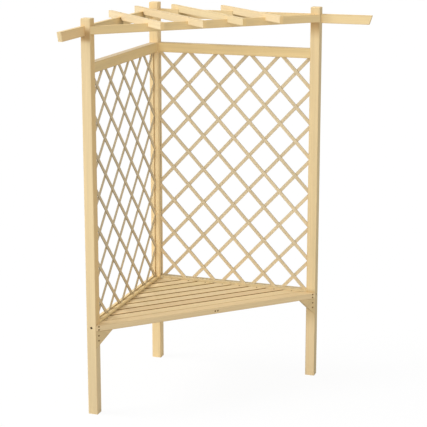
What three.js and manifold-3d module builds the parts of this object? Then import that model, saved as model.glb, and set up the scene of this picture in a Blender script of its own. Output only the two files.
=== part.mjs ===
// A corner arbour seat of planed softwood: three posts, two lattice panels that stand square to
// each other, a slatted corner seat and an open roof of beams and notched slats.
// Millimetres, +Z up. The origin is on the ground under the middle of the footprint.
// The back panel runs along X and the left panel along Y; the seat faces between +X and -Y.

import * as THREE from 'three';
import { mergeVertices } from 'three/addons/utils/BufferGeometryUtils.js';
import Module from 'manifold-3d';

const wasm = await Module();
wasm.setup();

// Posts, and the distance from outer face to outer face along each panel
const postSize = 50;
const postHeight = 1970;
const postEase = 4;
const postTopEase = 2.5;
const frameSpan = 930;

// Clearance between pieces that touch, and how far a cutter runs past what it cuts
const joinGap = 0.3;
const cutOverrun = 30;
const easeSteps = 2;

// Rails of the two panels
const railThick = 42;
const railHeight = 50;
const railEase = 2.5;
const topRailSpace = 130;
const bottomRailRise = 11;

// Lattice: two crossed layers of laths, let into grooves in the rails and posts
const lathWidth = 18;
const lathThick = 4;
const diamondWide = 169.6;
const diamondHigh = 182.2;
const topNodeDrop = 76;
const layerBite = 0.1;
const grooveDepth = 8;

// Roof beams
const beamThick = 22;
const beamHeight = 46;
const beamDrop = 36;
const beamEase = 1.5;
const beamReach = 262;
const beamEndSlant = 15;
const diagonalBeamHeight = 39;

// Roof slats, set over the beams with notches in their undersides
const roofSlatCount = 4;
const roofSlatThick = 20;
const roofSlatHeight = 36;
const roofSlatEase = 1.5;
const roofSlatLap = 16.5;
const roofSlatPitch = 212;
const innerSlatBackReach = 73;
const innerSlatFrontReach = 166;
const outerSlatBackReach = 121;
const outerSlatFrontReach = 148;

// Seat
const seatTop = 464;
const seatSlatCount = 8;
const seatSlatThick = 15;
const seatSlatSpace = 9;
const backSlatSpace = 23;
const seatSlatEase = 1;
const seatSlatEndGap = 2;

// Apron rail along the front of the seat, and the brackets under its ends
const apronDepth = 55;
const apronHeight = 31.5;
const apronEase = 2;
const apronNose = 7;
const apronSpace = 3;
const bracketLeg = 88;
const bracketThick = 40;
const bracketEase = 1.5;

// Hidden supports of the seat slats
const ledgerThick = 20;
const bearerWidth = 45;
const bearerHeight = 30;
const bearerOffset = 38;
const bearerEase = 1.5;

// Frame bolts through the posts into the ends of the bottom rails
const boltDiameter = 6;
const boltLength = 100;
const boltHeadAcross = 10;
const boltHeadThick = 4;
const boltStagger = 18;
const counterboreDiameter = 12;
const counterboreDepth = 16;
const boltSides = 12;
const headSides = 6;

// Worked out from the sizes above
const root2 = Math.SQRT2;
const quarterTurn = Math.PI / 2;
const postCentre = postSize / 2;
const railOuter = postCentre - railThick / 2;
const railInner = postCentre + railThick / 2;
const beamTop = postHeight - beamDrop;
const beamBottom = beamTop - beamHeight;
const topRailBottom = beamBottom - topRailSpace - railHeight;
const topNodeHeight = topRailBottom - topNodeDrop;
const bottomRailTop = seatTop + bottomRailRise;
const bottomRailBottom = bottomRailTop - railHeight;
const roofSlatBottom = beamTop - roofSlatLap;
const seatSlatBottom = seatTop - seatSlatThick;
const grooveHalf = lathThick + joinGap;
const boltHeight = bottomRailTop - railHeight / 2;
const diagonalFace = (frameSpan + postSize) / root2;
const apronBack = diagonalFace - apronDepth;
const apronBottom = seatTop - apronHeight;
const farAway = frameSpan + beamReach;
const outerSlatOffset = roofSlatPitch * (roofSlatCount - 1) / 2;
const slatBackOverhang = (outerSlatBackReach + roofSlatThick / 2) / root2;
const footprintShift = (frameSpan + beamReach - slatBackOverhang) / 2;

// A three.js geometry as a closed solid, and back
function solidOf(geometry) {
  const bare = geometry.clone();
  bare.deleteAttribute('normal');
  bare.deleteAttribute('uv');
  const merged = mergeVertices(bare);
  return new wasm.Manifold(new wasm.Mesh({
    numProp: 3,
    vertProperties: merged.getAttribute('position').array,
    triVerts: Uint32Array.from(merged.index.array),
  }));
}

function geometryOf(solid) {
  const mesh = solid.getMesh();
  const geometry = new THREE.BufferGeometry();
  geometry.setAttribute('position', new THREE.BufferAttribute(mesh.vertProperties, 3));
  geometry.setIndex(new THREE.BufferAttribute(mesh.triVerts, 1));
  geometry.computeVertexNormals();
  return geometry;
}

// Subtracts each cutter geometry from a solid
function cutBy(solid, cutters) {
  let result = solid;
  for (const cutter of cutters) result = result.subtract(solidOf(cutter));
  return result;
}

// A square-edged block between two corners
function block(low, high) {
  const size = high.map((value, i) => value - low[i]);
  const middle = high.map((value, i) => (value + low[i]) / 2);
  return new THREE.BoxGeometry(...size).translate(...middle);
}

// A rectangle with one radius, or a radius for each corner from (u0, v0) round by (u1, v0)
function roundedRectangle(u0, v0, u1, v1, ease) {
  const [r0, r1, r2, r3] = Array.isArray(ease) ? ease : [ease, ease, ease, ease];
  const shape = new THREE.Shape();
  shape.absarc(u0 + r0, v0 + r0, r0, 2 * quarterTurn, 3 * quarterTurn);
  shape.absarc(u1 - r1, v0 + r1, r1, -quarterTurn, 0);
  shape.absarc(u1 - r2, v1 - r2, r2, 0, quarterTurn);
  shape.absarc(u0 + r3, v1 - r3, r3, quarterTurn, 2 * quarterTurn);
  return shape;
}

// A planed bar along X between two corners, its long edges eased
function barAlongX(low, high, ease) {
  const section = roundedRectangle(low[1], low[2], high[1], high[2], ease);
  const settings = { depth: high[0] - low[0], bevelEnabled: false, curveSegments: easeSteps };
  const geometry = new THREE.ExtrudeGeometry(section, settings);
  return geometry.rotateX(quarterTurn).rotateZ(quarterTurn).translate(low[0], 0, 0);
}

// The same along Y
function barAlongY(low, high, ease) {
  const section = roundedRectangle(low[0], low[2], high[0], high[2], ease);
  const settings = { depth: high[1] - low[1], bevelEnabled: false, curveSegments: easeSteps };
  return new THREE.ExtrudeGeometry(section, settings).rotateX(quarterTurn).translate(0, high[1], 0);
}

// A plank with the given side outline in X and Z, between two faces along Y, its edges eased
function plank(outline, y0, y1, ease) {
  const shape = new THREE.Shape(outline.map(([x, z]) => new THREE.Vector2(x, z)));
  const settings = {
    depth: y1 - y0 - 2 * ease,
    bevelThickness: ease,
    bevelSize: ease,
    bevelOffset: -ease,
    bevelSegments: 1,
  };
  return new THREE.ExtrudeGeometry(shape, settings).rotateX(quarterTurn).translate(0, y1 - ease, 0);
}

// A flat outline in X and Y, pulled straight up from z0 to z1
function upright(outline, z0, z1) {
  const shape = new THREE.Shape(outline.map(([x, y]) => new THREE.Vector2(x, y)));
  return new THREE.ExtrudeGeometry(shape, { depth: z1 - z0, bevelEnabled: false }).translate(0, 0, z0);
}

// A round rod along +X from x0 to x1
function rod(x0, x1, diameter, sides) {
  const geometry = new THREE.CylinderGeometry(diameter / 2, diameter / 2, x1 - x0, sides);
  return geometry.rotateZ(quarterTurn).translate((x0 + x1) / 2, 0, 0);
}

// Frames. In a panel's frame X runs along the panel as seen from the seat, Y points outwards
// from the outer faces of its posts. In the diagonal frame X runs from the corner to the front.
const arbour = new THREE.Group();
const leftPanel = new THREE.Group();
const backPanel = new THREE.Group();
const diagonal = new THREE.Group();
arbour.position.set(-footprintShift, footprintShift - frameSpan, 0);
leftPanel.rotation.z = quarterTurn;
backPanel.position.y = frameSpan;
diagonal.position.y = frameSpan;
diagonal.rotation.z = -quarterTurn / 2;
arbour.add(leftPanel, backPanel, diagonal);
arbour.updateMatrixWorld(true);

// The same shape, told in another frame
function carried(geometry, from, to) {
  const step = new THREE.Matrix4().copy(to.matrixWorld).invert().multiply(from.matrixWorld);
  return geometry.clone().applyMatrix4(step);
}

const finishes = {
  post: { color: 0xead2a2, roughness: 0.72, metalness: 0 },
  rail: { color: 0xe3c897, roughness: 0.74, metalness: 0 },
  lath: { color: 0xdfc494, roughness: 0.78, metalness: 0 },
  beam: { color: 0xe8cd9b, roughness: 0.72, metalness: 0 },
  roofSlat: { color: 0xf4dcab, roughness: 0.7, metalness: 0 },
  seatSlat: { color: 0xe6c99a, roughness: 0.68, metalness: 0 },
  hidden: { color: 0xdcc092, roughness: 0.8, metalness: 0 },
  steel: { color: 0x8d9094, roughness: 0.4, metalness: 1 },
};

function addPiece(frame, name, solid, finish) {
  const material = new THREE.MeshStandardMaterial({ ...finishes[finish], flatShading: true });
  const mesh = new THREE.Mesh(geometryOf(solid), material);
  mesh.name = name;
  frame.add(mesh);
  return mesh;
}

// The region between the posts, or between the bottom rails, that widens from the corner
function wedge(setback, z0, z1) {
  const tip = setback * root2;
  return upright([[tip, 0], [farAway, tip - farAway], [farAway, farAway - tip]], z0, z1);
}

// Everything on one side of the upright plane through the corner and the front
function halfSpace(side, z0, z1) {
  const near = side * joinGap / 2;
  const far = side * farAway;
  return block([-farAway, Math.min(near, far), z0], [farAway, Math.max(near, far), z1]);
}

// The turn that takes a cut or bolt from the +X face of a post to each of its faces
const plusX = 0;
const plusY = quarterTurn;
const minusX = 2 * quarterTurn;
const minusY = -quarterTurn;

// Posts. Each cut is made for the +X face and turned to its own face.
function beamNotch() {
  const inner = postCentre - beamThick - joinGap;
  return block([inner, -postSize, beamBottom - joinGap], [postSize, postSize, beamTop + joinGap]);
}

function latticeGroove() {
  const low = [postCentre - grooveDepth, -grooveHalf, bottomRailTop - grooveDepth];
  return block(low, [postSize, grooveHalf, topRailBottom + grooveDepth]);
}

function boltHole(height) {
  const bore = rod(-postSize, postSize, boltDiameter + 2 * joinGap, boltSides);
  const mouth = rod(postCentre - counterboreDepth, postSize, counterboreDiameter, boltSides);
  return [bore.translate(0, 0, height), mouth.translate(0, 0, height)];
}

function addPost(name, x, y, cuts) {
  const section = roundedRectangle(-postCentre, -postCentre, postCentre, postCentre, postEase);
  const blank = new THREE.ExtrudeGeometry(section, {
    depth: postHeight,
    bevelThickness: postTopEase,
    bevelSize: postTopEase,
    bevelOffset: -postTopEase,
    bevelSegments: 1,
    curveSegments: easeSteps,
  }).translate(0, 0, -postTopEase);
  const cutters = [block([-postSize, -postSize, -cutOverrun], [postSize, postSize, 0])];
  for (const face of cuts.notches) cutters.push(beamNotch().rotateZ(face));
  for (const face of cuts.grooves) cutters.push(latticeGroove().rotateZ(face));
  for (const [face, height] of cuts.bolts) {
    for (const hole of boltHole(height)) cutters.push(hole.rotateZ(face));
  }
  const post = addPiece(arbour, name, cutBy(solidOf(blank), cutters), 'post');
  post.position.set(x, y, 0);
}

const farCentre = frameSpan - postCentre;
const cornerBoltLeft = boltHeight + boltStagger / 2;
const cornerBoltBack = boltHeight - boltStagger / 2;
addPost('post_left', postCentre, postCentre, {
  notches: [minusX],
  grooves: [plusY],
  bolts: [[minusY, boltHeight]],
});
addPost('post_corner', postCentre, farCentre, {
  notches: [plusY, minusX],
  grooves: [plusX, minusY],
  bolts: [[plusY, cornerBoltLeft], [minusX, cornerBoltBack]],
});
addPost('post_right', farCentre, farCentre, {
  notches: [plusY],
  grooves: [minusX],
  bolts: [[plusX, boltHeight]],
});

// Frame bolts: a hexagon head at the bottom of its counterbore, pointing into the rail
function addBolt(name, x, y, face, height) {
  const seat = postCentre - counterboreDepth + joinGap;
  const shank = rod(seat - boltLength, seat + boltHeadThick / 2, boltDiameter, boltSides);
  const headDiameter = boltHeadAcross / Math.cos(Math.PI / headSides);
  const head = rod(seat, seat + boltHeadThick, headDiameter, headSides);
  const bolt = addPiece(arbour, name, solidOf(shank).add(solidOf(head)), 'steel');
  bolt.position.set(x, y, height);
  bolt.rotation.z = face;
}

addBolt('frame_bolt_left', postCentre, postCentre, minusY, boltHeight);
addBolt('frame_bolt_corner_left', postCentre, farCentre, plusY, cornerBoltLeft);
addBolt('frame_bolt_corner_back', postCentre, farCentre, minusX, cornerBoltBack);
addBolt('frame_bolt_right', farCentre, farCentre, plusX, boltHeight);

// Rails of one panel: the lattice groove faces the opening, the bottom rail is bored for bolts
const railStart = postSize + joinGap;
const railEnd = frameSpan - postSize - joinGap;
const boltReach = boltLength + counterboreDepth;

function railBlank(z0) {
  const high = [railEnd, -railOuter, z0 + railHeight];
  return solidOf(barAlongX([railStart, -railInner, z0], high, railEase));
}

function railGroove(z0, z1) {
  const low = [0, -postCentre - grooveHalf, z0];
  return block(low, [frameSpan, -postCentre + grooveHalf, z1]);
}

function addRails(panel, side, boreHeights) {
  const topGroove = railGroove(topRailBottom - cutOverrun, topRailBottom + grooveDepth);
  addPiece(panel, `rail_top_${side}`, cutBy(railBlank(topRailBottom), [topGroove]), 'rail');
  const boreDiameter = boltDiameter + 2 * joinGap;
  const [startHeight, endHeight] = boreHeights;
  const cutters = [
    railGroove(bottomRailTop - grooveDepth, bottomRailTop + cutOverrun),
    rod(0, boltReach, boreDiameter, boltSides).translate(0, -postCentre, startHeight),
    rod(frameSpan - boltReach, frameSpan, boreDiameter, boltSides).translate(0, -postCentre, endHeight),
  ];
  addPiece(panel, `rail_bottom_${side}`, cutBy(railBlank(bottomRailBottom), cutters), 'rail');
}

addRails(leftPanel, 'left', [boltHeight, cornerBoltLeft]);
addRails(backPanel, 'back', [cornerBoltBack, boltHeight]);

// Lattice of one panel: laths that fall to the right on the seat side, laths that rise behind
const latticeInset = grooveDepth - joinGap;
const lattice = {
  x0: postSize - latticeInset,
  x1: frameSpan - postSize + latticeInset,
  z0: bottomRailTop - latticeInset,
  z1: topRailBottom + latticeInset,
};

// The length of a lath's centre line that lies inside the lattice's outline
function runInside(crossing, slope) {
  const reach = (z) => crossing + (z - topNodeHeight) / slope;
  const ends = [reach(lattice.z0), reach(lattice.z1)];
  const start = Math.max(Math.min(...ends), lattice.x0);
  const end = Math.min(Math.max(...ends), lattice.x1);
  return end - start;
}

function lathLayer(direction, y0, y1) {
  const slope = direction * diamondHigh / diamondWide;
  const length = 2 * (frameSpan + lattice.z1 - lattice.z0);
  const blank = new THREE.BoxGeometry(length, y1 - y0, lathWidth);
  blank.rotateY(-Math.atan(slope)).translate(0, (y0 + y1) / 2, topNodeHeight);
  const most = Math.ceil(length / diamondWide);
  const laths = [];
  for (let i = -most; i <= most; i += 1) {
    const crossing = frameSpan / 2 + i * diamondWide;
    if (runInside(crossing, slope) > lathWidth) {
      laths.push(solidOf(blank.clone().translate(crossing, 0, 0)));
    }
  }
  return laths.reduce((sum, lath) => sum.add(lath));
}

function addLattice(panel, side) {
  const seatSide = lathLayer(-1, -postCentre - lathThick, -postCentre + layerBite);
  const farSide = lathLayer(1, -postCentre - layerBite, -postCentre + lathThick);
  const outline = block([lattice.x0, -postSize, lattice.z0], [lattice.x1, 0, lattice.z1]);
  addPiece(panel, `lattice_${side}`, seatSide.add(farSide).intersect(solidOf(outline)), 'lath');
}

addLattice(leftPanel, 'left');
addLattice(backPanel, 'back');

// Outer roof beams, let into the posts and mitred together inside the corner post
function addOuterBeam(panel, name, cornerX, freeX, side) {
  const inward = Math.sign(cornerX - freeX);
  const outline = [
    [cornerX, beamBottom],
    [cornerX, beamTop],
    [freeX, beamTop],
    [freeX + inward * beamEndSlant, beamBottom],
  ];
  const blank = solidOf(plank(outline, -beamThick, 0, beamEase));
  const mitre = solidOf(carried(halfSpace(side, 0, postHeight), diagonal, panel));
  addPiece(panel, name, blank.intersect(mitre), 'beam');
}

addOuterBeam(leftPanel, 'beam_left', frameSpan, -beamReach, -1);
addOuterBeam(backPanel, 'beam_back', 0, frameSpan + beamReach, 1);

// Diagonal roof beam, its ends mitred against the two outer posts
function addDiagonalBeam() {
  const low = [diagonalFace - beamThick, -farAway, beamTop - diagonalBeamHeight];
  const blank = solidOf(barAlongY(low, [diagonalFace, farAway, beamTop], beamEase));
  const between = solidOf(wedge(postSize + joinGap, 0, postHeight));
  addPiece(diagonal, 'beam_diagonal', blank.intersect(between), 'beam');
}

addDiagonalBeam();

// Roof slats: notched from below over the beam that each one crosses and the diagonal beam
function roofNotches(side) {
  const top = beamTop + joinGap;
  const low = [-farAway, -beamThick - joinGap, beamBottom - cutOverrun];
  const outer = block(low, [2 * farAway, joinGap, top]);
  const front = block(
    [diagonalFace - beamThick - joinGap, -farAway, beamBottom - cutOverrun],
    [diagonalFace + joinGap, farAway, top],
  );
  return [carried(outer, side < 0 ? leftPanel : backPanel, diagonal), front];
}

function addRoofSlat(index) {
  const offset = roofSlatPitch * (index - (roofSlatCount - 1) / 2);
  const isOuter = Math.abs(offset) > outerSlatOffset - roofSlatPitch / 2;
  const backReach = isOuter ? outerSlatBackReach : innerSlatBackReach;
  const frontReach = isOuter ? outerSlatFrontReach : innerSlatFrontReach;
  const low = [Math.abs(offset) - backReach, offset - roofSlatThick / 2, roofSlatBottom];
  const high = [diagonalFace + frontReach, offset + roofSlatThick / 2, roofSlatBottom + roofSlatHeight];
  const blank = solidOf(barAlongX(low, high, roofSlatEase));
  const solid = cutBy(blank, roofNotches(Math.sign(offset)));
  addPiece(diagonal, `roof_slat_${index + 1}`, solid, 'roofSlat');
}

for (let i = 0; i < roofSlatCount; i += 1) addRoofSlat(i);

// Seat slats, numbered from the front, cut off along the two bottom rails
const frontSlatEdge = apronBack - apronSpace;
const backSlatEdge = postSize * root2 + backSlatSpace;
const seatSlatPitch = (frontSlatEdge - backSlatEdge + seatSlatSpace) / seatSlatCount;
const seatSlatWidth = seatSlatPitch - seatSlatSpace;

function addSeatSlat(index) {
  const front = frontSlatEdge - index * seatSlatPitch;
  const low = [front - seatSlatWidth, -farAway, seatSlatBottom];
  const blank = solidOf(barAlongY(low, [front, farAway, seatTop], seatSlatEase));
  const between = solidOf(wedge(railInner + seatSlatEndGap, 0, bottomRailTop + cutOverrun));
  addPiece(diagonal, `seat_slat_${index + 1}`, blank.intersect(between), 'seatSlat');
}

for (let i = 0; i < seatSlatCount; i += 1) addSeatSlat(i);

// Apron rail, flush with the seat, with a rounded front top edge and mitred ends
function addApron() {
  const radii = [apronEase, apronEase, apronNose, apronEase];
  const low = [apronBack, -farAway, apronBottom];
  const blank = solidOf(barAlongY(low, [diagonalFace, farAway, seatTop], radii));
  const between = solidOf(wedge(postSize + joinGap, 0, seatTop + cutOverrun));
  addPiece(diagonal, 'apron', blank.intersect(between), 'rail');
}

addApron();

// Triangular brackets in the angle between the apron and each outer post
function addBracket(name, side) {
  const top = apronBottom - joinGap;
  const corner = side * (diagonalFace - (postSize + joinGap) * root2);
  const outline = [
    [corner + side * bracketLeg, top],
    [corner - side * bracketLeg, top],
    [corner + side * bracketLeg, top - 2 * bracketLeg],
  ];
  const blank = plank(outline, -bracketThick, 0, bracketEase);
  const placed = solidOf(blank.rotateZ(quarterTurn).translate(diagonalFace - bracketThick, 0, 0));
  const between = solidOf(wedge(postSize + joinGap, 0, top + cutOverrun));
  addPiece(diagonal, name, placed.intersect(between), 'rail');
}

addBracket('bracket_left', -1);
addBracket('bracket_right', 1);

// Ledgers on the inner faces of the bottom rails, under the ends of the slats
function addLedger(panel, name, x0, x1) {
  const ledgerFace = -railInner - joinGap;
  const low = [x0, ledgerFace - ledgerThick, bottomRailBottom];
  const blank = block(low, [x1, ledgerFace, seatSlatBottom - joinGap]);
  const behindApron = block([-farAway, -farAway, 0], [apronBack - joinGap, farAway, seatTop]);
  const solid = solidOf(blank).intersect(solidOf(carried(behindApron, diagonal, panel)));
  addPiece(panel, name, solid, 'hidden');
}

const ledgerInner = railInner + joinGap + ledgerThick;
addLedger(leftPanel, 'ledger_left', 0, frameSpan - postSize - joinGap);
addLedger(backPanel, 'ledger_back', ledgerInner + joinGap, frameSpan);

// Centre bearer from the back ledger to the apron, its back end cut to the ledger
function addCentreBearer() {
  const top = seatSlatBottom - joinGap;
  const low = [0, bearerOffset - bearerWidth / 2, top - bearerHeight];
  const high = [apronBack - joinGap, bearerOffset + bearerWidth / 2, top];
  const blank = solidOf(barAlongX(low, high, bearerEase));
  const between = solidOf(wedge(ledgerInner + joinGap, 0, seatTop));
  addPiece(diagonal, 'centre_bearer', blank.intersect(between), 'hidden');
}

addCentreBearer();

export default arbour;
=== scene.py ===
import math
import random

import bmesh
import bpy
from mathutils import Matrix, Vector


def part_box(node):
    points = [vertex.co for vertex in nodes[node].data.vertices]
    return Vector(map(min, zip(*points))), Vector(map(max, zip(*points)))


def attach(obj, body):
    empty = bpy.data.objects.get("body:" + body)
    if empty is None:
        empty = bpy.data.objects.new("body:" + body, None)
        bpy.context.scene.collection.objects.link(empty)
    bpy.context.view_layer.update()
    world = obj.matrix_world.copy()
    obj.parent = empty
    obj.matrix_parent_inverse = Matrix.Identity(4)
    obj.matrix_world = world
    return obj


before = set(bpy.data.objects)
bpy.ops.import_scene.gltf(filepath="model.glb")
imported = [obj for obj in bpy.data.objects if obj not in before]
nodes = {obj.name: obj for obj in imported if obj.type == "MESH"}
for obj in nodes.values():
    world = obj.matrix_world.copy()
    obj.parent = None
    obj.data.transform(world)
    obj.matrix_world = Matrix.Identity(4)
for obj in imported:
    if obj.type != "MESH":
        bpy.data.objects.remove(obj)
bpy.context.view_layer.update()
root2 = math.sqrt(2)
upright = Vector((0, 0, 1))
alongX = Vector((1, 0, 0))
alongY = Vector((0, 1, 0))
leftToRight = Vector((1, 1, 0)) / root2  # the way that the seat slats run
towardFront = Vector((1, -1, 0)) / root2  # from the corner post to the front of the seat
cornerSpot = Vector((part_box("post_corner")[0].x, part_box("post_corner")[1].y, 0))
print("frame loaded:", len(nodes), "nodes")


# The boards of a numbered row, such as the roof slats
def numbered(start):
    count = sum(name.startswith(start) for name in nodes)
    return [(number, start + str(number)) for number in range(1, count + 1)]


def topOf(name):
    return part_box(name)[1].z


def middleOf(name):
    low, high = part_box(name)
    return (low + high) / 2


# Where a node's box ends along an axis
def faceOf(name, way):
    low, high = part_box(name)
    return max(low.dot(way), high.dot(way))


# How far a node reaches from the corner along a direction
def reachOf(name, way):
    return max((vertex.co - cornerSpot).dot(way) for vertex in nodes[name].data.vertices)


# How far from the corner its middle lies
def middleAlong(name, way):
    return (reachOf(name, way) - reachOf(name, -way)) / 2


# One output of a node tree, with the arithmetic that the finishes use
class Wire:
    def __init__(self, finish, socket):
        self.finish = finish
        self.socket = socket

    def __add__(self, other):
        return self.finish.maths("ADD", self, other)

    def __sub__(self, other):
        return self.finish.maths("SUBTRACT", self, other)

    def __rsub__(self, other):
        return self.finish.maths("SUBTRACT", other, self)

    def __mul__(self, other):
        return self.finish.maths("MULTIPLY", self, other)

    def __truediv__(self, other):
        return self.finish.maths("DIVIDE", self, other)

    __radd__ = __add__
    __rmul__ = __mul__


# The node tree of a material or of the world, emptied and filled again
class Finish:
    def __init__(self, owner):
        owner.use_nodes = True
        self.owner = owner
        self.tree = owner.node_tree
        self.tree.nodes.clear()

    def node(self, kind, settings, inputs, output=0):
        made = self.tree.nodes.new(kind)
        for key, value in settings.items():
            if key == "stops":
                self.setStops(made.color_ramp.elements, value)
            else:
                setattr(made, key, value)
        for key, value in inputs.items():
            if isinstance(value, Wire):
                self.tree.links.new(value.socket, made.inputs[key])
            else:
                made.inputs[key].default_value = value
        return Wire(self, made.outputs[output]) if made.outputs else made

    def setStops(self, elements, stops):
        while len(elements) < len(stops):
            elements.new(1)
        for element, (position, level) in zip(elements, stops):
            element.position = position
            element.color = (level, level, level, 1)

    def maths(self, operation, first, second=0.0):
        return self.node("ShaderNodeMath", {"operation": operation}, {0: first, 1: second})

    def place(self):
        return self.node("ShaderNodeTexCoord", {}, {}, "Object")

    def along(self, vector, direction):
        settings = {"operation": "DOT_PRODUCT"}
        return self.node("ShaderNodeVectorMath", settings, {0: vector, 1: direction}, "Value")

    def facing(self, direction):
        return self.along(self.node("ShaderNodeTexCoord", {}, {}, "Normal"), direction)

    def reach(self, direction):
        return self.along(self.place(), direction)

    def mapped(self, vector, **inputs):
        named = {key.capitalize(): value for key, value in inputs.items()}
        return self.node("ShaderNodeMapping", {}, {"Vector": vector, **named})

    def split(self, vector):
        parts = self.node("ShaderNodeSeparateXYZ", {}, {0: vector}).socket.node
        return [Wire(self, socket) for socket in parts.outputs]

    def joined(self, x, y, z):
        return self.node("ShaderNodeCombineXYZ", {}, {0: x, 1: y, 2: z})

    def noise(self, vector, scale, detail, roughness):
        stretched = self.mapped(vector, scale=scale)
        inputs = {"Vector": stretched, "Scale": 1.0, "Detail": detail, "Roughness": roughness}
        return self.node("ShaderNodeTexNoise", {}, inputs)

    def ease(self, value, start, end, low=0.0, high=1.0):
        inputs = {0: value, 1: start, 2: end, 3: low, 4: high}
        return self.node("ShaderNodeMapRange", {"interpolation_type": "SMOOTHSTEP"}, inputs)

    def between(self, value, low, high):
        return self.maths("GREATER_THAN", value, low) * self.maths("LESS_THAN", value, high)

    def ramp(self, value, stops):
        return self.node("ShaderNodeValToRGB", {"stops": stops}, {0: value})

    # A Mix node has its colours on sockets 6 and 7, and its vectors on 4 and 5
    def blend(self, factor, first, second, **settings):
        inputs = {0: factor, 6: first, 7: second}
        return self.node("ShaderNodeMix", {"data_type": "RGBA", **settings}, inputs, 2)

    def chosen(self, factor, first, second):
        inputs = {0: factor, 4: first, 5: second}
        return self.node("ShaderNodeMix", {"data_type": "VECTOR"}, inputs, 1)

    def scaled(self, colour, amount):
        inputs = {0: colour, "Scale": amount}
        return self.node("ShaderNodeVectorMath", {"operation": "SCALE"}, inputs)

    def stained(self, factor, colour, tint):
        return self.blend(factor, colour, (*tint, 1), blend_type="MULTIPLY")

    def surface(self, colour, roughness, height, bump, fixed):
        bumpInputs = {"Strength": bump["strength"], "Distance": bump["depth"], "Height": height}
        normal = self.node("ShaderNodeBump", {}, bumpInputs)
        inputs = {"Base Color": colour, "Roughness": roughness, "Normal": normal, **fixed}
        return self.node("ShaderNodeBsdfPrincipled", {}, inputs)

    def done(self, surface, kind="ShaderNodeOutputMaterial"):
        self.node(kind, {}, {"Surface": surface})
        return self.owner


# Plain pine: pale early wood, ringed with late wood, as planed boards show it
pine = {
    "early": (0.885, 0.688, 0.385),
    "late": (0.745, 0.530, 0.262),
    "knot": (0.520, 0.325, 0.155),
    "marks": {  # scale along and across the fibres, detail, roughness
        "bend": ((0.9, 5, 5), 2.0, 0.5),
        "fibre": ((9, 330, 330), 3.0, 0.65),
        "streak": ((1.3, 48, 48), 2.0, 0.6),
        "pore": ((45, 1700, 1700), 2.0, 0.7),
        "cloud": ((2.2, 7, 7), 2.0, 0.5),
    },
    "noiseMiddle": 0.5,
    "tone": 0.755,
    "toneShares": {"fibre": 0.07, "streak": 0.28, "cloud": 0.05, "pore": 0.09},
    "roughShares": {"fibre": 0.16, "ring": 0.05},
    "heightShares": {"fibre": 0.5, "pore": 0.3, "ring": 0.3, "knot": 0.3},
    "ringStops": [(0.0, 0.0), (0.42, 0.08), (0.80, 0.72), (0.93, 1.0), (1.0, 0.04)],
    "ringWidth": 0.0042,
    "ringWarp": 0.011,
    "ringSwells": ((0.0012, 0.019), (0.0003, 0.0073)),  # how far rings wander, and over what length
    "ringClear": 0.35,  # how strongly a ring shows
    "ringCloudy": 0.6,  # and how much more where it is cloudy
    "knotShare": 0.85,
    "knotSpread": 4.3,
    "knotRadius": 0.0065,
    "knotHeart": 0.45,
    "swirlRadius": 0.034,
    "swirlHeart": 0.002,  # where the swirl is full, in knot spacings
    "swirl": 0.010,
    "pith": (0.03, 0.12),  # how far from a board the middle of its tree may lie
    "shift": 9,  # so that no two boards show the same grain
    "toneSpread": 0.028,
    "hueSpread": 0.02,
    "hueTurns": (0, 0.4, 1.5),  # how much a turn of the hue changes red, green and blue
    "edgeReach": 0.0045,
    "edgeRough": 0.08,
    "endTone": 0.04,
    "endRough": 0.12,
    "endFacing": (0.62, 0.9),
    "stainOrShadeFacing": (0.75, 0.97),
    "bump": {"strength": 0.4, "depth": 0.0005},
    "shine": {"Specular IOR Level": 0.35},
}


# A colour times a tint, with its hue turned a little
def tinted(colour, tint, turn):
    levels = zip(colour, tint, pine["hueTurns"])
    return (*[level * share * (1 + turn * bend) for level, share, bend in levels], 1)


# A plain value with a share of each mark added to it
def withMarks(plain, marks, shares):
    for name, share in shares.items():
        plain = plain + marks[name] * share
    return plain


# Colour, tone, roughness and height of pine. The grain vector runs along the fibres in its X.
def pinePattern(finish, grain, cut, chance, look):
    marks = {name: finish.noise(cut, *mark) for name, mark in pine["marks"].items()}
    _, side, depth = finish.split(grain)
    angle = chance.uniform(0, 2 * math.pi)
    pith = chance.uniform(*pine["pith"])
    sideways = side + pith * math.cos(angle)
    deeper = depth + pith * math.sin(angle)
    radius = finish.maths("SQRT", sideways * sideways + deeper * deeper)
    spread = pine["knotSpread"]
    inputs = {"Vector": cut, "Scale": spread}
    apart = finish.node("ShaderNodeTexVoronoi", {"feature": "F1"}, inputs, "Distance")
    knotRim = pine["knotRadius"] * spread
    knot = finish.ease(apart, knotRim, knotRim * pine["knotHeart"])
    swirlRim = pine["swirlRadius"] * spread
    swirl = finish.ease(apart, swirlRim, pine["swirlHeart"], 0.0, pine["swirl"])
    radius = radius + (marks["bend"] - pine["noiseMiddle"]) * pine["ringWarp"] + swirl
    swollen = radius
    for swell, length in pine["ringSwells"]:
        swollen = swollen + finish.maths("SINE", radius * (2 * math.pi / length)) * swell
    ring = finish.ramp(finish.maths("FRACT", swollen / pine["ringWidth"]), pine["ringStops"])
    share = ring * (pine["ringClear"] + marks["cloud"] * pine["ringCloudy"]) * look["ringShare"]
    turn = chance.uniform(-pine["hueSpread"], pine["hueSpread"])
    early = tinted(pine["early"], look["tint"], turn)
    late = tinted(pine["late"], look["tint"], turn)
    wood = finish.blend(share, early, late)
    wood = finish.blend(knot * pine["knotShare"], wood, (*pine["knot"], 1))
    marks.update(ring=ring, knot=knot)
    tone = withMarks(pine["tone"], marks, pine["toneShares"])
    roughness = withMarks(look["roughness"], marks, pine["roughShares"])
    height = withMarks(0.0, marks, pine["heightShares"])
    return wood, tone, roughness, height


# Axes of a board: along its fibres, sideways and through it
def grainAxes(along):
    third = upright
    if along == upright:
        third = alongX
    elif along.z:
        third = towardFront  # the slanting brackets
    side = third.cross(along).normalized()
    return Matrix((along, side, along.cross(side)))


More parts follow.
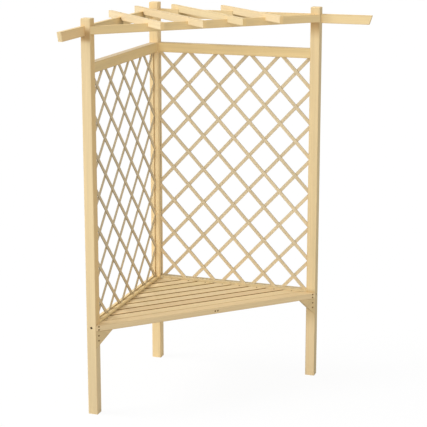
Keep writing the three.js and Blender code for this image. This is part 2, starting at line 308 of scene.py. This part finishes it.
def measured(node, axes):
    spots = [axes @ vertex.co for vertex in node.data.vertices]
    low = Vector([min(spot[i] for spot in spots) for i in range(3)])
    high = Vector([max(spot[i] for spot in spots) for i in range(3)])
    return (low + high) / 2, (high - low) / 2


def dress(node, material):
    for slot in node.material_slots:
        slot.material = material


def dressInPine(name, along, look):
    node = nodes[name]
    finish = Finish(bpy.data.materials.new("pine_" + name))
    chance = random.Random("pine " + name)
    axes = grainAxes(along)
    centre, half = measured(node, axes)
    grain = finish.mapped(finish.place(), rotation=axes.to_euler("XYZ"), location=-centre)
    shift = [chance.uniform(-pine["shift"], pine["shift"]) for _ in range(3)]
    cut = finish.mapped(grain, location=shift)
    wood, tone, roughness, height = pinePattern(finish, grain, cut, chance, look)
    _, side, depth = finish.split(grain)
    sideRoom = half.y - finish.maths("ABSOLUTE", side)
    depthRoom = half.z - finish.maths("ABSOLUTE", depth)
    edge = finish.ease(finish.maths("MAXIMUM", sideRoom, depthRoom), pine["edgeReach"], 0.0)
    sawn = finish.ease(finish.maths("ABSOLUTE", finish.facing(along)), *pine["endFacing"])
    piece = 1 + chance.uniform(-1, 1) * pine["toneSpread"]
    tone = tone * (piece - sawn * pine["endTone"])
    for face, shade in look["grooves"]:
        tone = tone * grooveShade(finish, name, face, along, shade)
    colour = finish.scaled(wood, tone * look["tone"])
    colour = finish.stained(edge, colour, look["edge"])
    for stain in look["stainsAndShades"]:
        colour = stainedBy(finish, colour, *stain)
    roughness = roughness + edge * pine["edgeRough"] + sawn * pine["endRough"]
    surface = finish.surface(colour, roughness, height, pine["bump"], pine["shine"])
    dress(node, finish.done(surface))


# Painted shade inside the lattice grooves, which are drawn darker than the faces round them
groove = {"halfWide": 0.0046, "lip": 0.0007, "deep": 0.0088, "past": 0.0013}
groove["low"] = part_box("lattice_left")[0].z - groove["past"]
groove["high"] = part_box("lattice_left")[1].z + groove["past"]


def grooveShade(finish, name, face, along, shade):
    across = along.cross(face)
    outward = finish.reach(face) - faceOf(name, face)
    sideways = finish.reach(across) - middleOf(name).dot(across)
    inside = finish.between(outward, -groove["deep"], -groove["lip"])
    narrow = finish.between(sideways, -groove["halfWide"], groove["halfWide"])
    level = finish.between(finish.reach(upright), groove["low"], groove["high"])
    return 1 - inside * narrow * level * (1 - shade)


# One stain, painted shade or painted light: the colour that it multiplies by, the way that the faces it
# covers look, or None for all of them, and ramps, each a direction with the places where it is nothing and
# where it is full
def stainedBy(finish, colour, tint, way, *ramps):
    mask = 1.0
    if way is not None:
        mask = mask * finish.ease(finish.facing(way), *pine["stainOrShadeFacing"])
    for along, nothing, full in ramps:
        mask = mask * finish.ease(finish.reach(along), nothing, full)
    return finish.stained(mask, colour, tint)


planed = {
    "tint": (1, 1, 1),
    "tone": 1.0,
    "ringShare": 0.62,
    "roughness": 0.56,
    "edge": (0.85, 0.80, 0.72),
    "grooves": (),
    "stainsAndShades": (),
}
# The first colour is painted shade on the sides of the seat slats, in the gaps between them
gapShade = (0.40, 0.27, 0.13)  # where two boards meet and the light goes
dusk = (0.62, 0.52, 0.40)  # where a board stands in another one's shade

# Counterbore of a frame bolt, darkened with painted shade. The shade is full within reach of the axis and
# depth of the bolt's head, and ends at the rim and the mouth.
boltHole = {
    "tint": (0.10, 0.065, 0.03),
    "reach": 0.0063,
    "rim": 0.0068,
    "depth": 0.0080,
    "mouth": 0.0112,
}


def boreShade(bolt, outward):
    head = faceOf(bolt, outward)
    ramps = [(outward, head + boltHole["mouth"], head + boltHole["depth"])]
    for way in (outward.cross(upright), upright):
        centre = middleOf(bolt).dot(way)
        for side in (-1, 1):
            ramps.append((way, centre + side * boltHole["rim"], centre + side * boltHole["reach"]))
    return (boltHole["tint"], None, *ramps)


# Posts, with painted shade where the roof beams, the apron and the ground are near, and painted light and
# shade on some of their faces
beamLow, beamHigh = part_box("beam_left")[0].z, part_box("beam_left")[1].z
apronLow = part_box("apron")[0].z
# How dark the painted shade in a groove leaves the wood
shadedGroove = 0.52
posts = {
    "post_left": {
        **planed,
        "grooves": ((alongY, shadedGroove),),
        "stainsAndShades": (
            # Painted shade: warm on the side facing the seat above it, towards the foot, beside the roof
            # beam, and in the bolt hole
            ((0.97, 0.89, 0.74), alongX, (upright, 0.35, 0.50)),
            ((0.93, 0.93, 0.93), -alongY, (upright, 0.5, 0.05)),
            (dusk, -alongY, (upright, beamLow - 0.04, beamLow - 0.01), (upright, beamHigh, beamLow + 0.01)),
            boreShade("frame_bolt_left", -alongY),
        ),
    },
    "post_corner": {
        **planed,
        # Painted light: the corner post is lighter all over, and lighter still low on its front
        "tone": 1.13,
        "grooves": ((alongX, shadedGroove), (-alongY, 0.80)),
        "stainsAndShades": (
            ((1.08, 1.07, 1.05), -alongY, (upright, 0.43, 0.36), (upright, 0.02, 0.30)),
            boreShade("frame_bolt_corner_left", alongY),
            boreShade("frame_bolt_corner_back", -alongX),
        ),
    },
    "post_right": {
        **planed,
        "grooves": ((-alongX, shadedGroove),),
        "stainsAndShades": (
            # Painted shade on its right-hand side, under the diagonal beam and under the apron; painted
            # light low on its front; painted shade in the bolt hole
            ((0.86, 0.88, 0.86), alongX),
            (dusk, -alongY, (upright, beamLow - 0.09, beamLow), (upright, beamLow + 0.01, beamLow)),
            ((0.74, 0.70, 0.62), -alongY, (upright, 0.27, apronLow), (upright, 0.49, 0.46)),
            ((1.15, 1.15, 1.20), -alongY, (upright, 0.38, 0.22)),
            boreShade("frame_bolt_right", alongX),
        ),
    },
}
for name, look in posts.items():
    dressInPine(name, upright, look)

# Rails. The left bottom one has painted light on its top beside the lattice and on its inner face, and
# painted shade at the laths' feet; the top rails carry painted shade on their tops.
railWood = {**planed, "tint": (1.01, 0.985, 0.875), "tone": 0.96}
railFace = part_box("rail_bottom_left")[1].x
latticeBack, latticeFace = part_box("lattice_left")[0].x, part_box("lattice_left")[1].x
fromLattice = (alongX, latticeFace - 0.001, latticeFace)
toLathFoot = (alongX, latticeFace + 0.008, latticeFace + 0.005)
rails = {
    "rail_top_left": {
        **railWood,
        "grooves": ((-upright, shadedGroove),),
        # Painted shade, a little less yellow, on the top face
        "stainsAndShades": (((0.79, 0.84, 1.10), upright),),
    },
    "rail_top_back": {
        **railWood,
        "grooves": ((-upright, shadedGroove),),
        # Painted shade, a little less yellow, on the top face
        "stainsAndShades": (((0.75, 0.80, 0.98), upright),),
    },
    "rail_bottom_left": {
        **railWood,
        "edge": (1, 0.97, 0.93),
        "grooves": ((upright, 0.85),),
        "stainsAndShades": (
            # Painted shade at the laths' feet, painted light on the top beside the lattice and on the inner
            # face above the seat
            ((0.66, 0.64, 0.60), upright, toLathFoot, fromLattice),
            ((1.12, 1.18, 1.34), upright, (alongX, latticeBack + 0.001, latticeBack - 0.003)),
            ((1.32, 1.42, 1.55), alongX, (alongX, railFace - 0.010, railFace - 0.006)),
        ),
    },
    "rail_bottom_back": {
        **railWood,
        "grooves": ((upright, 0.85),),
        # Paler all over, and painted shade on the front face
        "stainsAndShades": (((0.94, 1.0, 1.18), None), ((0.95, 0.96, 0.95), -alongY)),
    },
}
for name, look in rails.items():
    dressInPine(name, alongY if name.endswith("left") else alongX, look)

# Roof beams. On the inner face of an outer beam, painted shade falls just past each slat, towards its free
# end.
beamWood = {**planed, "tint": (1.01, 1, 0.95), "tone": 1.05}
diagonalWood = {**planed, "tint": (1, 0.965, 0.87), "tone": 1.04}
slatShade = {"tint": (0.50, 0.46, 0.38), "far": 0.10, "near": 0.015, "rim": 0.012}


def slatShades(inward, outward, numbers):
    shades = []
    for number in numbers:
        across = abs(middleAlong("roof_slat_" + str(number), leftToRight))
        run = cornerSpot.dot(outward) + across * root2
        fade = (outward, run + slatShade["far"], run + slatShade["near"])
        shades.append((slatShade["tint"], inward, fade, (outward, run, run + slatShade["rim"])))
    return tuple(shades)


leftBeamLightAndShade = (
    # Painted light on the free end, warm painted shade on the inner face near it and darker painted shade
    # further in, and painted shade past each slat
    ((1.08, 1.10, 1.18), -alongY),
    ((1.03, 0.95, 0.88), alongX, (-alongY, 0.36, 0.40)),
    ((0.87, 0.86, 0.82), alongX, (alongY, -0.34, -0.30)),
    *slatShades(alongX, -alongY, (1, 2)),
)
dressInPine("beam_left", alongY, {**beamWood, "stainsAndShades": leftBeamLightAndShade})
dressInPine("beam_back", alongX, {**beamWood, "stainsAndShades": slatShades(-alongY, alongX, (3, 4))})
dressInPine("beam_diagonal", leftToRight, diagonalWood)


# The stain of a board that is a little browner than its neighbours
def ownStain(tints, number):
    return ((tints[number], None),) if number in tints else ()


roofWood = {
    **planed,
    "tint": (1.02, 1.06, 1.18),
    "ringShare": 0.5,
    "stainsAndShades": (((1.06, 0.955, 0.75), towardFront), ((1.06, 0.955, 0.75), -towardFront)),
}
roofTints = {3: (0.965, 0.965, 0.91)}
for number, name in numbered("roof_slat_"):
    stainsAndShades = roofWood["stainsAndShades"] + ownStain(roofTints, number)
    dressInPine(name, towardFront, {**roofWood, "stainsAndShades": stainsAndShades})

# Seat slats, with a painted shadow beside the left rail and painted shade on their sides and edges in the
# gaps between them. The first meets the apron.
seatWood = {
    **planed,
    "tint": (1, 1.005, 1.03),
    "tone": 0.99,
    # Darker edges, which deepen the painted shade in the gaps
    "edge": (0.74, 0.60, 0.36),
    "roughness": 0.54,
    "stainsAndShades": (
        # Painted shadow beside the left rail, and painted shade on the side towards the back
        ((0.70, 0.65, 0.57), None, (alongX, railFace + 0.034, railFace + 0.012)),
        (gapShade, -towardFront),
    ),
}
seatTints = {2: (0.98, 0.95, 0.94), 6: (0.99, 0.99, 0.93)}
for number, name in numbered("seat_slat_"):
    look = {**seatWood, "edge": planed["edge"]}
    if number > 1:
        # Painted shade on the side towards the front too
        stainsAndShades = (*seatWood["stainsAndShades"], (gapShade, towardFront), *ownStain(seatTints, number))
        look = {**seatWood, "stainsAndShades": stainsAndShades}
    dressInPine(name, leftToRight, look)

# Apron, its brackets, and the battens under the seat
apronWood = {**planed, "tint": (1.01, 0.99, 0.98), "tone": 0.94}
bracketWood = {**planed, "tint": (1, 0.97, 0.91)}
battenWood = {**planed, "tone": 0.9, "ringShare": 0.75, "roughness": 0.68}
dressInPine("apron", leftToRight, apronWood)
dressInPine("bracket_left", (upright - leftToRight).normalized(), {**bracketWood, "tone": 0.79})
dressInPine("bracket_right", (upright + leftToRight).normalized(), {**bracketWood, "tone": 0.85})
dressInPine("ledger_left", alongY, battenWood)
dressInPine("ledger_back", alongX, battenWood)
dressInPine("centre_bearer", towardFront, battenWood)
print("pine on the posts, rails, beams, slats and apron")


# Lattice: laths of the seat-side layer fall to the right, those behind them rise
lathWood = {**planed, "tint": (0.925, 0.975, 1.115), "ringShare": 0.5, "roughness": 0.6, "tone": 0.94}
lattice = {
    "diamondWide": 0.1696,
    "diamondHigh": 0.1822,
    "nodeHeight": 1.632,
    "lathWidth": 0.018,
    "layerStep": 5.3,  # these steps give each lath a grain and a tone of its own
    "lathStep": 0.37,
    "cutSteps": (3.1, 1, 0.7),
    "toneSteps": 0.10,
    "edgeTone": 0.18,
    "edgeStart": 0.0075,
    # Painted shade on the laths' narrow sides
    "sideShade": 0.30,
    "sideFacing": (0.3, 0.8),
    "seam": 0.0005,  # the two layers meet at depth 0, so a face there belongs to the side it looks to
}


def dressLattice(name, across, inward):
    finish = Finish(bpy.data.materials.new("pine_" + name))
    chance = random.Random("laths " + name)
    axes = Matrix((across, upright, inward))
    centre, _ = measured(nodes[name], axes)
    centre.y = lattice["nodeHeight"]
    panel = finish.mapped(finish.place(), rotation=axes.to_euler("XYZ"), location=-centre)
    right, up, depth = finish.split(panel)
    angle = math.atan2(lattice["diamondHigh"], lattice["diamondWide"])
    pitch = lattice["diamondWide"] * math.sin(angle)
    layers = []
    for slope in (-1, 1):
        run = right * math.cos(angle) + up * (slope * math.sin(angle))
        rise = up * math.cos(angle) - right * (slope * math.sin(angle))
        row = finish.maths("ROUND", rise / pitch)
        lath = row * lattice["lathStep"] + slope * lattice["layerStep"]
        layers.append(finish.joined(run, rise - row * pitch, lath))
    level = depth - finish.facing(inward) * lattice["seam"]
    behind = finish.maths("LESS_THAN", level, 0.0)
    run, side, lath = finish.split(finish.chosen(behind, *layers))
    grain = finish.joined(run, side, depth)
    spots = [spot + lath * step for spot, step in zip((run, side, depth), lattice["cutSteps"])]
    cut = finish.joined(*spots)
    wood, tone, roughness, height = pinePattern(finish, grain, cut, chance, lathWood)
    settings = {"noise_dimensions": "1D"}
    lot = finish.node("ShaderNodeTexWhiteNoise", settings, {"W": lath}, "Value")
    fromMiddle = finish.maths("ABSOLUTE", side)
    edge = finish.ease(fromMiddle, lattice["edgeStart"], lattice["lathWidth"] / 2)
    uneven = (lot - pine["noiseMiddle"]) * lattice["toneSteps"]
    tone = tone * (1 + uneven - edge * lattice["edgeTone"])
    flat = finish.ease(finish.maths("ABSOLUTE", finish.facing(inward)), *lattice["sideFacing"])
    tone = tone * (1 - (1 - flat) * lattice["sideShade"])
    colour = finish.scaled(wood, tone * lathWood["tone"])
    roughness = roughness + edge * pine["edgeRough"]
    surface = finish.surface(colour, roughness, height, pine["bump"], pine["shine"])
    dress(nodes[name], finish.done(surface))


dressLattice("lattice_left", alongY, alongX)
dressLattice("lattice_back", alongX, -alongY)
print("lattice laths dressed")


# Steel of the frame bolts and staples, zinc plated, and of the brown-coated wood screws
steels = {
    "zinc": {
        # Darker than bright zinc: it stands in for the shade over the bolt heads deep in their counterbores,
        # and the staples share it
        "colour": (0.06, 0.05, 0.036, 1),
        "worn": (0.14, 0.125, 0.10, 1),
        "fixed": {"Metallic": 0.8, "Specular IOR Level": 0.5},
    },
    "coated": {
        "colour": (0.165, 0.072, 0.006, 1),
        "worn": (0.23, 0.12, 0.03, 1),
        "fixed": {"Metallic": 0.0, "Specular IOR Level": 0.25},
    },
}
steelMarks = {
    "grime": ((900, 900, 900), 3.0, 0.6),  # scale, detail, roughness
    "patch": ((160, 160, 160), 2.0, 0.5),
    "wornGrime": 0.4,
    "wornFrom": (0.66, 0.86),
    "tone": (0.85, 0.3),  # plain, and how much the grime adds
    "roughness": (0.34, 0.22),
    "bump": {"strength": 0.25, "depth": 0.0001},
}


def makeSteel(name):
    look = steels[name]
    finish = Finish(bpy.data.materials.new("steel_" + name))
    place = finish.place()
    grime = finish.noise(place, *steelMarks["grime"])
    patch = finish.noise(place, *steelMarks["patch"])
    worn = finish.ease(patch + grime * steelMarks["wornGrime"], *steelMarks["wornFrom"])
    tone, roughness = [plain + grime * more for plain, more in (steelMarks["tone"], steelMarks["roughness"])]
    colour = finish.scaled(finish.blend(worn, look["colour"], look["worn"]), tone)
    return finish.done(finish.surface(colour, roughness, grime, steelMarks["bump"], look["fixed"]))


zincSteel = makeSteel("zinc")
coatedSteel = makeSteel("coated")
for name in nodes:
    if name.startswith("frame_bolt"):
        dress(nodes[name], zincSteel)


# Modelling helpers. A piece under work is the active object in edit mode.
squarely = 0.9  # least cosine between a face's normal and the way that it looks


def deselectAll():
    bpy.ops.object.select_all(action="DESELECT")


def activate(body):
    deselectAll()
    bpy.context.view_layer.objects.active = body
    body.select_set(True)


def looks(normal, way):
    return normal.dot(way) > squarely


def pick(test):
    shape = bmesh.from_edit_mesh(bpy.context.object.data)
    bpy.ops.mesh.select_all(action="DESELECT")
    for face in shape.faces:
        face.select = test(face.calc_center_median(), face.normal)
    bmesh.update_edit_mesh(bpy.context.object.data)


def pickFacing(way):
    pick(lambda spot, normal: looks(normal, way))


def pull(offset):
    move = {"value": offset}
    bpy.ops.mesh.extrude_region_move(TRANSFORM_OT_translate=move)


def shrink(factor):
    bpy.ops.transform.resize(value=(factor, factor, 1))


def edit():
    bpy.ops.object.mode_set(mode="EDIT")
    bpy.ops.mesh.select_mode(type="FACE")


def leave():
    bpy.ops.object.mode_set(mode="OBJECT")


# Countersunk wood screw with a cross recess, pointing down, the rim of its head at z = 0
screw = {
    "headRadius": 0.0042,
    "coreRadius": 0.0019,
    "sink": 0.0026,
    "proud": 0.0007,
    "headRings": ((0.12, 0.7), (0.35, 0.3)),  # shares of the head's radius and of its height
    "length": 0.030,
    "tip": 0.006,
    "tipShare": 0.08,
    "sides": 24,
    "slotWide": 0.0012,
    "slotReach": 0.0028,
    "slotFloor": 0.0002,  # above the wood, which would fill a deeper recess
    "slotTop": 0.0021,  # clear of the head
    "slotTaper": 0.72,
    "near": 1e-6,
    "smooth": 35,
}


def modelScrew():
    deselectAll()
    shank = screw["length"] - screw["sink"] - screw["tip"]
    middle = -screw["sink"] - shank / 2
    bpy.ops.mesh.primitive_cylinder_add(
        vertices=screw["sides"], radius=screw["coreRadius"], depth=shank, location=(0, 0, middle)
    )
    body = bpy.context.object
    bpy.ops.object.transform_apply(location=True)
    edit()
    pickFacing(upright)
    pull((0, 0, screw["sink"]))
    shrink(screw["headRadius"] / screw["coreRadius"])
    for inset, rise in screw["headRings"]:
        bpy.ops.mesh.inset(thickness=screw["headRadius"] * inset)
        bpy.ops.transform.translate(value=(0, 0, screw["proud"] * rise))
    pickFacing(-upright)
    pull((0, 0, -screw["tip"]))
    shrink(screw["tipShare"])
    leave()
    return body


def modelRecess():
    deselectAll()
    wide, arm, floor = screw["slotWide"], screw["slotReach"], screw["slotFloor"]
    height = screw["slotTop"] - floor
    middle = floor + height / 2
    bpy.ops.mesh.primitive_cube_add(size=1, location=(0, 0, middle), scale=(wide, wide, height))
    cross = bpy.context.object
    bpy.ops.object.transform_apply(location=True, scale=True)
    edit()
    for way in (alongX, -alongX, alongY, -alongY):
        root = way.xy * wide / 2
        pick(lambda spot, normal: looks(normal, way) and (spot.xy - root).length < screw["near"])
        pull(way * (arm - wide / 2))
    pickFacing(-upright)
    shrink(screw["slotTaper"])
    leave()
    return cross


def cutOut(body, cutter):
    activate(body)
    cut = body.modifiers.new("recess", "BOOLEAN")
    cut.operation = "DIFFERENCE"
    cut.solver = "EXACT"
    cut.object = cutter
    bpy.ops.object.modifier_apply(modifier=cut.name)
    bpy.data.objects.remove(cutter)


def soften(body, degrees):
    activate(body)
    bpy.ops.object.shade_smooth_by_angle(angle=math.radians(degrees))


pattern = modelScrew()
cutOut(pattern, modelRecess())
soften(pattern, screw["smooth"])
pattern.data.materials.append(coatedSteel)
turns = random.Random("screw turns")


def copyTo(source, name, spot, facing, turn):
    piece = source.copy()
    piece.data = source.data.copy()
    piece.name = name
    piece.data.name = name
    bpy.context.collection.objects.link(piece)
    swing = facing.to_track_quat("Z", "Y").to_matrix().to_4x4() @ Matrix.Rotation(turn, 4, "Z")
    piece.data.transform(Matrix.Translation(spot) @ swing)
    piece.matrix_world = Matrix.Identity(4)
    return piece


def addScrew(name, spot, facing):
    piece = copyTo(pattern, name, spot, facing, turns.uniform(0, math.pi))
    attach(piece, "root")


# A spot told from the outer corner of the corner post
def cornerPlace(forward, across, height):
    return cornerSpot + towardFront * forward + leftToRight * across + upright * height


front = reachOf("apron", towardFront)
sides = ((-1, "left"), (1, "right"))

# Seat: each slat is screwed down at both ends
seatScrews = {"line": 0.055}  # from the outer faces of the panels


def screwSeat():
    for number, slat in numbered("seat_slat_"):
        forward = middleAlong(slat, towardFront)
        for side, word in sides:
            across = side * (forward - seatScrews["line"] * root2)
            spot = cornerPlace(forward, across, topOf(slat))
            addScrew("seat_screw_" + word + "_" + str(number), spot, upright)


# Apron: two screws at each end, two more below them into each bracket, and two into the bearer
apronScrews = {
    "end": 0.6065,
    "heights": (0.457, 0.441),
    "middle": (0.0315, 0.046),
    "middleHeight": 0.447,
}
bracketScrews = {"across": 0.6075, "heights": (0.411, 0.3855), "under": 0.060, "fromBack": 0.017}


def screwApron():
    for side, word in sides:
        for row, height in enumerate(apronScrews["heights"]):
            spot = cornerPlace(front, side * apronScrews["end"], height)
            addScrew("apron_screw_" + word + "_" + str(row + 1), spot, towardFront)
        for row, height in enumerate(bracketScrews["heights"]):
            spot = cornerPlace(front, side * bracketScrews["across"], height)
            addScrew("bracket_screw_" + word + "_" + str(row + 1), spot, towardFront)
    for row, across in enumerate(apronScrews["middle"]):
        spot = cornerPlace(front, across, apronScrews["middleHeight"])
        addScrew("bearer_screw_" + str(row + 1), spot, towardFront)


# Brackets: one more screw goes up through each slanting underside
def screwBrackets():
    for side, word in sides:
        name = "bracket_" + word
        slant = (leftToRight * -side - upright).normalized()
        across = side * (reachOf("apron", leftToRight) - bracketScrews["under"])
        forward = reachOf(name, towardFront) - bracketScrews["fromBack"]
        level = cornerPlace(forward, across, 0) - cornerSpot
        height = (level.dot(slant) - reachOf(name, slant)) / -slant.z
        addScrew("bracket_screw_" + word + "_3", cornerPlace(forward, across, height), slant)


screwSeat()
screwApron()
screwBrackets()
print("screws in the seat, the apron and the brackets")

# Roof: each slat is screwed down to the two beams that it crosses
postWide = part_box("post_corner")[1].x - cornerSpot.x
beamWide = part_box("beam_left")[1].x - cornerSpot.x
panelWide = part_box("post_right")[1].x - cornerSpot.x


def screwRoof():
    for _, slat in numbered("roof_slat_"):
        across = middleAlong(slat, leftToRight)
        meetings = (abs(across) + beamWide / 2 * root2, front - beamWide / 2)
        for row, forward in enumerate(meetings):
            spot = cornerPlace(forward, across, topOf(slat))
            addScrew(slat + "_screw_" + str(row + 1), spot, upright)


# Outer beams: two screws into the post at each end, one above the other and a little apart
beamScrews = {"rises": (0.012, 0.034), "postSpread": 0.010, "cornerRun": 0.037, "cornerSpread": 0.006}


def screwBeams():
    number = 0
    ends = (
        (panelWide - postWide / 2, beamScrews["postSpread"]),
        (beamScrews["cornerRun"], beamScrews["cornerSpread"]),
    )
    for beam, facing, way in (("beam_left", -alongX, -alongY), ("beam_back", alongY, alongX)):
        for run, spread in ends:
            for side, rise in zip((-1, 1), beamScrews["rises"]):
                number += 1
                spot = cornerSpot + way * run + way * spread * side + upright * (beamLow + rise)
                addScrew(beam + "_screw_" + str(number), spot, facing)


# Diagonal beam: slanting screws from its top into the posts
diagonalScrews = {"toPost": 0.011, "sunk": 0.002}


def screwDiagonal():
    height = topOf("beam_diagonal") - diagonalScrews["sunk"]
    middle = cornerPlace(front - beamWide / 2, 0, height)
    for word, way in (("left", alongX), ("right", -alongY)):
        face = faceOf("post_" + word, way) + diagonalScrews["toPost"]
        run = (face - middle.dot(way)) / leftToRight.dot(way)
        addScrew("diagonal_screw_" + word, middle + leftToRight * run, (way + upright).normalized())


# Ledgers are screwed to the bottom rails from inside, and the top rails to the posts from outside
ledgerScrews = {"runs": (0.15, 0.45, 0.75)}
railScrews = {"fromEnd": 0.016}


def screwLedgers():
    height = middleOf("ledger_left").z
    for row, run in enumerate(ledgerScrews["runs"]):
        spot = Vector((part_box("ledger_left")[1].x, cornerSpot.y - run, height))
        addScrew("ledger_screw_left_" + str(row + 1), spot, alongX)
        spot = Vector((cornerSpot.x + run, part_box("ledger_back")[0].y, height))
        addScrew("ledger_screw_back_" + str(row + 1), spot, -alongY)


def screwRails():
    for word, way, outward in (("left", alongY, -alongX), ("back", alongX, alongY)):
        rail = "rail_top_" + word
        low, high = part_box(rail)
        halfWide = abs((high - low).dot(outward)) / 2
        halfRun = (high - low).dot(way) / 2 - railScrews["fromEnd"]
        for row, side in enumerate((-1, 1)):
            spot = middleOf(rail) + outward * halfWide + way * side * halfRun
            addScrew("rail_screw_" + word + "_" + str(row + 1), spot, outward)


screwRoof()
screwBeams()
screwDiagonal()
screwLedgers()
screwRails()
bpy.data.objects.remove(pattern)
print("screws in the roof, the ledgers and the rails")


# Wire staples that hold the laths together, driven from outside at each crossing
staple = {
    "crown": 0.0095,
    "wire": 0.0012,
    "leg": 0.006,
    "proud": 0.0004,
    "edge": 0.0003,
    "clear": 0.016,  # between a staple and the rails and posts
    "turn": 0.25,
    "columns": 5,  # enough half diamonds to each side of the middle and of the node's height
    "rows": 16,
}


def modelStaple():
    deselectAll()
    wire, crown = staple["wire"], staple["crown"]
    middle = staple["proud"] - wire / 2
    bpy.ops.mesh.primitive_cube_add(size=1, location=(0, 0, middle), scale=(crown - 2 * wire, wire, wire))
    body = bpy.context.object
    bpy.ops.object.transform_apply(location=True, scale=True)
    edit()
    for way in (alongX, -alongX):
        pickFacing(way)
        pull(way * wire)
    pick(lambda spot, normal: looks(normal, -upright) and abs(spot.x) > crown / 2 - wire)
    pull((0, 0, -staple["leg"]))
    leave()
    rounded = body.modifiers.new("rounded", "BEVEL")
    rounded.width = staple["edge"]
    rounded.segments = 1
    rounded.limit_method = "ANGLE"
    bpy.ops.object.modifier_apply(modifier=rounded.name)
    body.data.materials.append(zincSteel)
    return body


# Crossings of the laths, every second point of a grid of half diamonds
def crossings(name, across):
    low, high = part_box(name)
    halfSpan = abs((high - low).dot(across)) / 2
    for column in range(-staple["columns"], staple["columns"] + 1):
        for row in range(-staple["rows"], staple["rows"]):
            run = column * lattice["diamondWide"] / 2
            height = lattice["nodeHeight"] + row * lattice["diamondHigh"] / 2
            room = min(halfSpan - abs(run), height - low.z, high.z - height)
            if (column + row) % 2 == 0 and room >= staple["clear"]:
                yield run, height


def stapleLattice(name, across, outward):
    source = modelStaple()
    middle = middleOf(name).dot(across)
    copies = []
    for run, height in crossings(name, across):
        spot = across * (middle + run) + outward * faceOf(name, outward) + upright * height
        turn = turns.uniform(-staple["turn"], staple["turn"])
        copies.append(copyTo(source, name, spot, outward, turn))
    bpy.data.objects.remove(source)
    activate(copies[0])
    for piece in copies:
        piece.select_set(True)
    bpy.ops.object.join()
    joined = bpy.context.object
    joined.name = name + "_staples"
    joined.data.name = joined.name
    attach(joined, "root")
    return len(copies)


count = stapleLattice("lattice_left", alongY, -alongX)
count += stapleLattice("lattice_back", alongX, alongY)
print("staples in the lattices:", count)


# Camera at the photograph's angle
cameraPlan = {
    "place": (2.14382, -6.35283, 2.64394),
    "azimuth": 18.8030,
    "elevation": 12.8516,
    "lens": 117.196,
    "lower": -0.06,  # shift of the frame, as the upright posts of the photograph need
    "sensor": 36.0,
}


def aimCamera():
    tilt = math.radians(90 - cameraPlan["elevation"])
    turn = (tilt, 0, math.radians(cameraPlan["azimuth"]))
    bpy.ops.object.camera_add(location=cameraPlan["place"], rotation=turn)
    camera = bpy.context.object
    camera.data.lens = cameraPlan["lens"]
    camera.data.sensor_width = cameraPlan["sensor"]
    camera.data.shift_y = cameraPlan["lower"]
    bpy.context.scene.camera = camera


aimCamera()
print("camera placed")


# Plain studio light: an even room, a key from the left and a weaker fill from the front
lightPlan = {
    "room": 0.50,
    "key": {"azimuth": -72, "elevation": 45, "strength": 1.78, "spread": 30},
    "fill": {"azimuth": 4, "elevation": 8, "strength": 1.24, "spread": 60},
    "floorSize": 60.0,
    "floorShade": (0.6, 0.6, 0.6, 1),
    "floorGlow": 1.06,
    "floorShare": 0.88,
}


def addLamp(name):
    look = lightPlan[name]
    around, above = math.radians(look["azimuth"]), math.radians(look["elevation"])
    level = math.cos(above)
    source = Vector((math.sin(around) * level, -math.cos(around) * level, math.sin(above)))
    bpy.ops.object.light_add(type="SUN", rotation=source.to_track_quat("Z", "Y").to_euler())
    lamp = bpy.context.object
    lamp.name = name
    lamp.data.energy = look["strength"]
    lamp.data.angle = math.radians(look["spread"])


def seenRays(finish):
    path = finish.node("ShaderNodeLightPath", {}, {}).socket.node
    rays = ("Is Camera Ray", "Is Glossy Ray", "Is Transmission Ray")
    camera, glossy, through = [Wire(finish, path.outputs[name]) for name in rays]
    return finish.maths("MAXIMUM", finish.maths("MAXIMUM", camera, glossy), through)


def lightRoom():
    world = bpy.data.worlds.new("room")
    bpy.context.scene.world = world
    finish = Finish(world)
    white = (1, 1, 1, 1)
    room = finish.node("ShaderNodeBackground", {}, {"Color": white, "Strength": lightPlan["room"]})
    seen = finish.node("ShaderNodeBackground", {}, {"Color": white, "Strength": 1.0})
    mixed = finish.node("ShaderNodeMixShader", {}, {0: seenRays(finish), 1: room, 2: seen})
    finish.done(mixed, "ShaderNodeOutputWorld")


def layFloor():
    bpy.ops.mesh.primitive_plane_add(size=lightPlan["floorSize"])
    floor = bpy.context.object
    floor.name = "floor"
    finish = Finish(bpy.data.materials.new("floor_white"))
    matt = finish.node("ShaderNodeBsdfDiffuse", {}, {"Color": lightPlan["floorShade"]})
    glow = finish.node("ShaderNodeEmission", {}, {"Strength": lightPlan["floorGlow"]})
    share = seenRays(finish) * lightPlan["floorShare"]
    mixed = finish.node("ShaderNodeMixShader", {}, {0: share, 1: matt, 2: glow})
    floor.data.materials.append(finish.done(mixed))


for name in ("key", "fill"):
    addLamp(name)
lightRoom()
layFloor()
bpy.context.scene.view_settings.view_transform = "Standard"
print("room lit")
